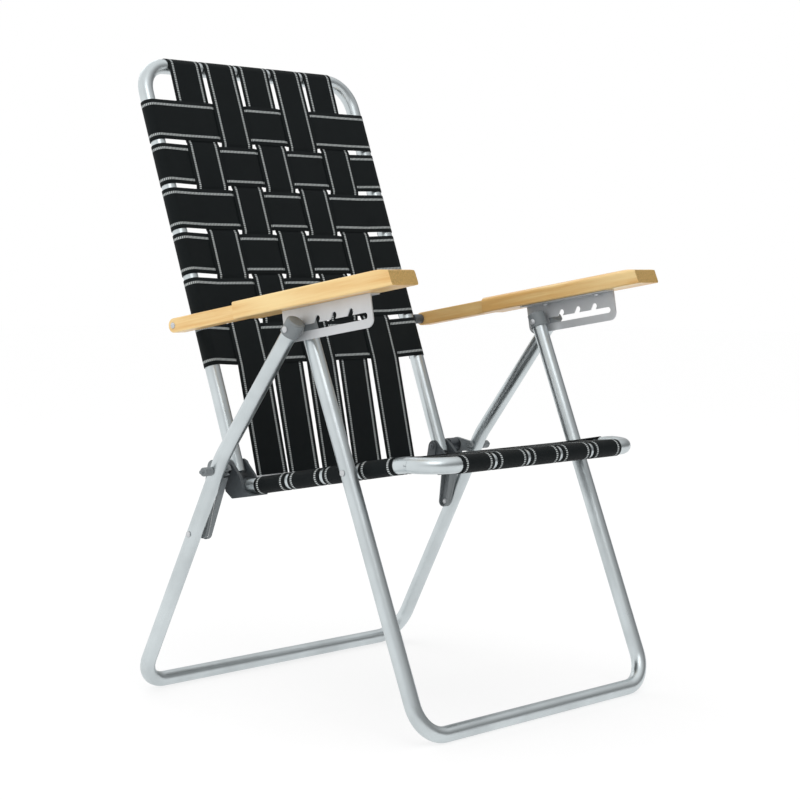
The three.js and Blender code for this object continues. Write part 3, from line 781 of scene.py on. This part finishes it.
def web_material(name):
    """Black woven web with a pale dotted stripe near each edge and a painted highlight on its raised threads;
    UV is across and along, in metres.
    """
    f = finish()
    w = weave()
    made, tree, surface = start_material(name, roughness=0.72)
    across, along, _ = split(tree, coordinates(tree, "UV"))
    rib = waves(tree, across, w.rib_pitch)
    half_turn = math_node(tree, "MULTIPLY", math_node(tree, "SIGN", rib), 0.5 * math.pi)
    pick = waves(tree, along, w.pick_pitch, half_turn)
    pick_height = ranged(tree, pick, (-1, 1), (0.35, 1))
    height = math_node(tree, "MULTIPLY", math_node(tree, "ABSOLUTE", rib), pick_height)
    # Painted highlight and shade of the weave: raised threads lighter than the hollows between them, more so
    # in patches of noise
    highlight_patches = noise(tree, coordinates(tree, "Object"), scale=38.0, detail=4.0, roughness=0.6)
    lit = math_node(tree, "MULTIPLY", height, ranged(tree, highlight_patches, (0.3, 0.7), (0.35, 1)))
    ground = mix_colour(tree, lit, tuple(f.web), tuple(f.web_thread_highlight))
    off_stripe = math_node(tree, "SUBTRACT", math_node(tree, "ABSOLUTE", across), w.stripe_place)
    off_middle = math_node(tree, "ABSOLUTE", off_stripe)
    stripe_edge = (w.stripe_half - w.stripe_soft / 2, w.stripe_half + w.stripe_soft / 2)
    line = ranged(tree, off_middle, stripe_edge, (1, 0))
    dots = ranged(tree, waves(tree, along, w.dot_pitch), (-0.5, 0.3), (0.12, 1))
    pale = math_node(tree, "MULTIPLY", line, dots)
    link(tree, mix_colour(tree, pale, ground, tuple(f.stripe)), surface.inputs["Base Color"])
    link(tree, ranged(tree, height, (0, 1), (0.82, 0.6)), surface.inputs["Roughness"])
    surface.inputs["Specular IOR Level"].default_value = 0.18
    bump(tree, surface, height, distance=w.relief, strength=0.7)
    return made


def wood_material(name):
    """Pale varnished hardwood with grain along the arm and darker end grain."""
    f = finish()
    slope = sizes().arm_slope
    made, tree, surface = start_material(name, roughness=0.38)
    spread = coordinates(tree, "Object")
    turned = mapped(tree, spread, (1, 1, 1), (slope, 0, 0))
    wander = noise(tree, mapped(tree, turned, (9, 2.0, 9)))
    grain = noise(tree, mapped(tree, turned, (95, 3.2, 70)), detail=5.0, roughness=0.62)
    broad = math_node(tree, "MULTIPLY", wander, 14.0)
    fine = math_node(tree, "MULTIPLY", grain, 1.4)
    bands = math_node(tree, "ADD", broad, fine)
    rings = ranged(tree, math_node(tree, "SINE", bands), (-1, 1), (0, 1))
    streaks = math_node(tree, "MULTIPLY", rings, ranged(tree, grain, (0.35, 0.75), (0.15, 0.85)))
    tone = ranged(tree, streaks, (0.06, 0.46), (0, 1))
    face = mix_colour(tree, tone, tuple(f.wood), tuple(f.wood_dark))
    ahead = (0, -math.cos(slope), math.sin(slope))
    facing = math_node(tree, "ABSOLUTE", dot_with(tree, coordinates(tree, "Normal"), ahead))
    end = ranged(tree, facing, (0.72, 0.9), (0, 1))
    speckle = noise(tree, mapped(tree, spread, (700, 60, 500)), detail=3.0)
    fleck = ranged(tree, speckle, (0.35, 0.65), (0, 0.55))
    end_tone = mix_colour(tree, fleck, tuple(f.end_grain), tuple(f.wood_dark))
    link(tree, mix_colour(tree, end, face, end_tone), surface.inputs["Base Color"])
    link(tree, ranged(tree, grain, (0.3, 0.7), (0.30, 0.5)), surface.inputs["Roughness"])
    surface.inputs["Coat Weight"].default_value = f.varnish
    surface.inputs["Coat Roughness"].default_value = 0.22
    bump(tree, surface, grain, distance=0.0002, strength=0.4)
    return made


def plastic(name, tint):
    """Moulded plastic with a fine texture and rubbed high spots."""
    made, tree, surface = start_material(name, roughness=0.5)
    spread = coordinates(tree, "Object")
    fine = noise(tree, spread, scale=1500.0)
    cloud = noise(tree, spread, scale=55.0, detail=4.0, roughness=0.6)
    light = tuple(min(1, value * 1.7 + 0.01) for value in tint)
    shape = tree.nodes.new("ShaderNodeNewGeometry")
    worn = ranged(tree, shape.outputs["Pointiness"], (0.52, 0.6), (0, 0.6))
    rub = math_node(tree, "MAXIMUM", worn, ranged(tree, cloud, (0.5, 0.75), (0, 0.45)))
    link(tree, mix_colour(tree, rub, tuple(tint), light), surface.inputs["Base Color"])
    link(tree, ranged(tree, cloud, (0.3, 0.7), (0.42, 0.62)), surface.inputs["Roughness"])
    bump(tree, surface, fine, distance=0.00005, strength=0.5)
    return made


def tube_material(name):
    """Drawn aluminium."""
    return metal(name, finish().aluminium, finish().tube_roughness, drawn=True)


def steel_material(name):
    """Dull plated steel."""
    return metal(name, finish().steel, finish().steel_roughness, finish().plating)


def dark_steel_material(name):
    """Blackened steel."""
    return metal(name, finish().dark_steel, finish().steel_roughness)


def dark_plastic_material(name):
    """Plastic of the brackets, spacers and tabs."""
    return plastic(name, finish().dark_plastic)


def grey_plastic_material(name):
    """Plastic of the caps, links and stop pins."""
    return plastic(name, finish().grey_plastic)


# Each material slot's name and maker
MATERIALS = {
    "tube": ("Tube aluminium", tube_material),
    "steel": ("Plated steel", steel_material),
    "dark_steel": ("Dark steel", dark_steel_material),
    "webbing": ("Web", web_material),
    "timber": ("Arm wood", wood_material),
    "dark_plastic": ("Dark plastic", dark_plastic_material),
    "grey_plastic": ("Grey plastic", grey_plastic_material),
}


def material(slot):
    """The material of a slot, made once."""
    name, maker = MATERIALS[slot]
    return bpy.data.materials.get(name) or maker(name)


# Operators


class CHAIR_OT_tubes(bpy.types.Operator):
    """Build the four bent tube frames"""

    bl_idname = "chair.tubes"
    bl_label = "Tubes"

    def execute(self, context):
        s = sizes()
        lay = layout()
        front = [lay.lock_pin - lay.front_down * s.leg_over, lay.front_foot]
        rear = [lay.lock_pin - lay.rear_down * s.leg_over, lay.leg_bend, lay.rear_foot]
        seat = [lay.rail_end, lay.seat_corner, lay.seat_front]
        back = [lay.back_pivot - lay.back_up * s.back_tail, lay.back_top]
        rear_radii = [s.leg_bend_radius, s.bend_radius]
        seat_radii = [s.rail_bend_radius, s.seat_corner_radius]
        frames = (
            ("front_leg", "front_legs", front, s.front_half, [s.bend_radius]),
            ("rear_leg", "rear_legs", rear, s.rear_half, rear_radii),
            ("seat", "seat", seat, s.seat_half, seat_radii),
            ("back", "back", back, s.back_half, [s.bend_radius]),
        )
        for name, body, points, half, radii in frames:
            made = tube(f"{name}_tube", hoop(points, half, radii), body)
            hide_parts(f"{name}_frame")
        return {"FINISHED"}


class CHAIR_OT_webs(bpy.types.Operator):
    """Weave the back and seat webs"""

    bl_idname = "chair.webs"
    bl_label = "Webs"

    def execute(self, context):
        s = sizes()
        lay = layout()
        back = back_run(lay)
        first_back_row = (back.end - back.start).length - s.last_back_row - s.web_pitch * (s.back_rows - 1)
        back_rows = row_distances(first_back_row, s.back_rows)
        seat_rows = row_distances(s.first_seat_row, s.seat_rows)
        straight = [0] * s.web_columns
        panels = (
            ("back", back, back_rows, list(s.web_stray), lay.back_top, lay.back_up, s.back_half),
            ("seat", seat_run(lay), seat_rows, straight, lay.seat_pivot, lay.rail_way, s.seat_half),
        )
        for body, run, rows, strays, tube_point, tube_way, half in panels:
            woven = pulled(run, tube_point, tube_way)
            straps = {}
            for i, stray in enumerate(strays):
                straps[f"{body}_long_web_{i + 1}"] = long_web(run, woven, rows, i, stray)
            for k, distance in enumerate(rows):
                stations = cross_web(woven, distance, k, tube_point, tube_way, half)
                straps[f"{body}_cross_web_{k + 1}"] = stations
            for name, stations in straps.items():
                made = strap(f"{name}_strap", stations, body)
                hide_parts(name)
        return {"FINISHED"}


class CHAIR_OT_link_rims(bpy.types.Operator):
    """Add the tapered rims that make each link a channel"""

    bl_idname = "chair.link_rims"
    bl_label = "Link rims"

    def execute(self, context):
        s = sizes()
        lay = layout()
        low = on_line(lay.leg_bend, (lay.rear_foot - lay.leg_bend).normalized(), s.link_low_z)
        top = lay.back_pivot
        reach = (top - low).length
        axis = (top - low).normalized()
        front = Vector((0, -axis.z, axis.y))
        edge = run_between(low, s.link_low_radius, top, s.link_top_radius, front)
        front_end = edge.end - edge.way * s.link_rim_end
        rear_end = front_end - front * 2 * (front_end - top).dot(front)
        lean = math.asin((s.link_top_radius - s.link_low_radius) / reach)
        outline = [front_end, *arc(low, s.link_low_radius, front, -axis, lean, math.pi - lean), rear_end]
        for name, way in SIDES:
            bm = bmesh.new()
            corners = [bm.verts.new(at_x(point, way * s.link_inner)) for point in outline]
            ring = [bm.edges.new(pair) for pair in zip(corners, corners[1:])]
            for point in new_points(bmesh.ops.extrude_edge_only(bm, edges=ring)["geom"]):
                up = min(1, max(0, (point.co - low).dot(axis) / reach))
                point.co.x -= way * (s.link_rim_low + (s.link_rim_top - s.link_rim_low) * up)
            bmesh.ops.recalc_face_normals(bm, faces=bm.faces)
            bmesh.ops.solidify(bm, geom=bm.faces[:], thickness=way * s.link_rim)
            soften(finish_mesh(bm, f"link_rim_{name}", "links", "grey_plastic", RIM_CREASE))
        return {"FINISHED"}


class CHAIR_OT_fittings(bpy.types.Operator):
    """Give the arms, plates, pins, caps, links and brackets their finish and soft edges"""

    bl_idname = "chair.fittings"
    bl_label = "Fittings"

    def execute(self, context):
        slots = {entry["node"]: entry["material_slot"] for entry in frame["record"]["subparts"]}
        for name, obj in frame["nodes"].items():
            if slots[name] in ("tube", "webbing"):
                continue
            obj.data.materials.clear()
            obj.data.materials.append(material(slots[name]))
            weld = obj.modifiers.new("Weld", "WELD")
            weld.merge_threshold = WELD_REACH
            soften(obj)
        return {"FINISHED"}


class CHAIR_OT_stage(bpy.types.Operator):
    """Set the floor, lights, background and camera"""

    bl_idname = "chair.stage"
    bl_label = "Stage"

    def execute(self, context):
        scene = context.scene
        g = stage()
        bm = bmesh.new()
        bmesh.ops.create_grid(bm, x_segments=1, y_segments=1, size=FLOOR_HALF)
        mesh = bpy.data.meshes.new("floor")
        bm.to_mesh(mesh)
        bm.free()
        mesh.materials.append(self.floor_material())
        floor = bpy.data.objects.new("floor", mesh)
        scene.collection.objects.link(floor)
        self.lamp("key", g.key_place, g.key_size, g.key_power)
        self.lamp("back", g.back_place, g.back_size, g.back_power)
        scene.world = bpy.data.worlds.new("studio")
        scene.world.use_nodes = True
        self.sky(scene.world.node_tree)
        camera = bpy.data.cameras.new("camera")
        camera.lens = VIEW_LENS
        camera.sensor_width = VIEW_SENSOR
        eye = bpy.data.objects.new("camera", camera)
        turn = Matrix((VIEW_RIGHT, VIEW_RIGHT.cross(VIEW_AHEAD), -VIEW_AHEAD)).transposed().to_4x4()
        eye.matrix_world = Matrix.Translation(VIEW_FROM) @ turn
        scene.collection.objects.link(eye)
        scene.camera = eye
        scene.view_settings.view_transform = "Standard"
        return {"FINISHED"}

    def lamp(self, name, stand, size, power):
        """A square lamp that looks at the chair."""
        light = bpy.data.lights.new(name, "AREA")
        light.size = size
        light.energy = power
        obj = bpy.data.objects.new(name, light)
        obj.location = stand
        aim = Vector(stage().aim) - Vector(stand)
        obj.rotation_euler = aim.to_track_quat("-Z", "Y").to_euler()
        bpy.context.scene.collection.objects.link(obj)

    def floor_material(self):
        """A pale floor that reads white, with the chair's soft shadow."""
        g = stage()
        made, tree, surface = start_material("Floor", roughness=0.9)
        surface.inputs["Base Color"].default_value = (*g.floor, 1)
        surface.inputs["Specular IOR Level"].default_value = 0.1
        glow = tree.nodes.new("ShaderNodeEmission")
        glow.inputs["Strength"].default_value = g.floor_glow
        white = math_node(tree, "MULTIPLY", self.seen(tree, 1), g.floor_white)
        link(tree, mix_shader(tree, white, surface, glow), tree.nodes["Material Output"].inputs[0])
        return made

    def seen(self, tree, mirrored):
        """1 to the camera and the stated share to a reflection or through glass."""
        paths = tree.nodes.new("ShaderNodeLightPath").outputs
        through = math_node(tree, "MAXIMUM", paths["Is Glossy Ray"], paths["Is Transmission Ray"])
        dimmed = math_node(tree, "MULTIPLY", through, mirrored)
        return math_node(tree, "MAXIMUM", paths["Is Camera Ray"], dimmed)

    def sky(self, tree):
        """White to the camera; otherwise a soft studio, bright overhead and dim to the right of the view."""
        g = stage()
        tree.nodes.clear()
        out = tree.nodes.new("ShaderNodeOutputWorld")
        white = tree.nodes.new("ShaderNodeBackground")
        white.inputs["Color"].default_value = (1, 1, 1, 1)
        room = tree.nodes.new("ShaderNodeBackground")
        way = coordinates(tree, "Generated")
        wall = ranged(tree, dot_with(tree, way, VIEW_RIGHT), (-0.6, 0.55), (g.wall_bright, g.wall_dim))
        top = ranged(tree, split(tree, way)["Z"], (0.25, 0.85), (0, g.overhead))
        link(tree, math_node(tree, "MAXIMUM", wall, top), room.inputs["Strength"])
        link(tree, mix_shader(tree, self.seen(tree, g.mirrored), room, white), out.inputs[0])


class CHAIR_PT_panel(bpy.types.Panel):
    """Sizes and steps of the chair"""

    bl_idname = "CHAIR_PT_panel"
    bl_label = "Lawn chair"
    bl_space_type = "VIEW_3D"
    bl_region_type = "UI"
    bl_category = "Chair"

    def draw(self, context):
        for step in STEPS:
            self.layout.operator(step.bl_idname)
        for group in (sizes(), weave(), finish(), stage()):
            for key in group.bl_rna.properties.keys():
                if key not in ("rna_type", "name"):
                    self.layout.prop(group, key)


STEPS = (CHAIR_OT_tubes, CHAIR_OT_webs, CHAIR_OT_link_rims, CHAIR_OT_fittings, CHAIR_OT_stage)
CLASSES = (ChairSizes, WeavePattern, ChairFinish, StageLevels, *STEPS, CHAIR_PT_panel)


def register():
    """Add the classes and the scene's settings."""
    for item in CLASSES:
        bpy.utils.register_class(item)
    bpy.types.Scene.chair_sizes = PointerProperty(type=ChairSizes)
    bpy.types.Scene.chair_weave = PointerProperty(type=WeavePattern)
    bpy.types.Scene.chair_finish = PointerProperty(type=ChairFinish)
    bpy.types.Scene.chair_stage = PointerProperty(type=StageLevels)


def unregister():
    """Remove the classes and the scene's settings."""
    del bpy.types.Scene.chair_sizes
    del bpy.types.Scene.chair_weave
    del bpy.types.Scene.chair_finish
    del bpy.types.Scene.chair_stage
    for item in reversed(CLASSES):
        bpy.utils.unregister_class(item)


def main():
    """Build everything."""
    register()
    bpy.ops.chair.tubes()
    bpy.ops.chair.webs()
    bpy.ops.chair.link_rims()
    bpy.ops.chair.fittings()
    bpy.ops.chair.stage()


if __name__ == "__main__":
    main()
